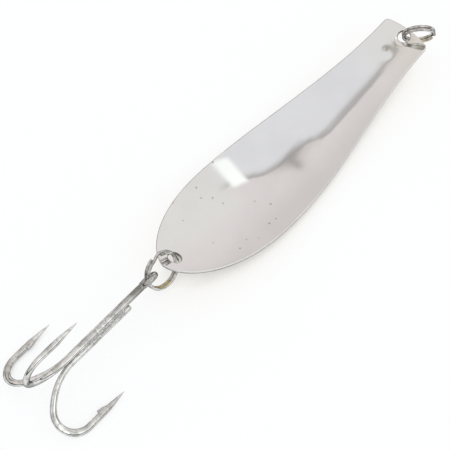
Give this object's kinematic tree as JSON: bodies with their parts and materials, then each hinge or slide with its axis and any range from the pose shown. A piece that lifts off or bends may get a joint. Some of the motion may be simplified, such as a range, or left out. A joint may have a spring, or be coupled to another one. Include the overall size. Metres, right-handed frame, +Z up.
{
  "type": "spoon lure",
  "caption": "Dished metal spoon lure with split rings and a brazed treble hook, which wobbles and flashes when drawn through water.",
  "frame": {"origin": "under the middle of the whole length, on the surface that the lure lies on", "axes": "+X along the blade towards the line end, +Z up out of the blade's hollow side, XZ is the blade's plane of symmetry"},
  "size_m": [0.1445, 0.0276, 0.0241],
  "materials": {
    "polished_metal": "polished nickel plate",
    "ring_steel": "bright nickelled spring wire",
    "hook_steel": "tinned wire, slightly pitted",
    "braze": "dull uneven solder"
  },
  "bodies": {
    "blade": {"spoon_blade": "polished_metal"},
    "front_ring": {"line_ring": "ring_steel"},
    "rear_ring": {"tail_ring": "ring_steel"},
    "treble": {"double_hook": "hook_steel", "third_hook": "hook_steel", "braze_seam": "braze"}
  },
  "joints": [
    {"name": "front_ring_swing", "type": "hinge", "parent": "blade", "child": "front_ring", "pos_m": [0.06639, 0, 0.0087], "axis": [0.6895, 0.6992, 0.1891], "range_deg": [-28, 55]},
    {"name": "rear_ring_swing", "type": "hinge", "parent": "blade", "child": "rear_ring", "pos_m": [-0.02232, 0, 0.00854], "axis": [-0.0215, 0.9135, -0.4062], "range_deg": [-14, 60]},
    {"name": "treble_swing", "type": "hinge", "parent": "rear_ring", "child": "treble", "pos_m": [-0.0311, 0, 0.009], "axis": [0.0483, 0.4067, 0.9123], "range_deg": [-75, 75]}
  ]
}
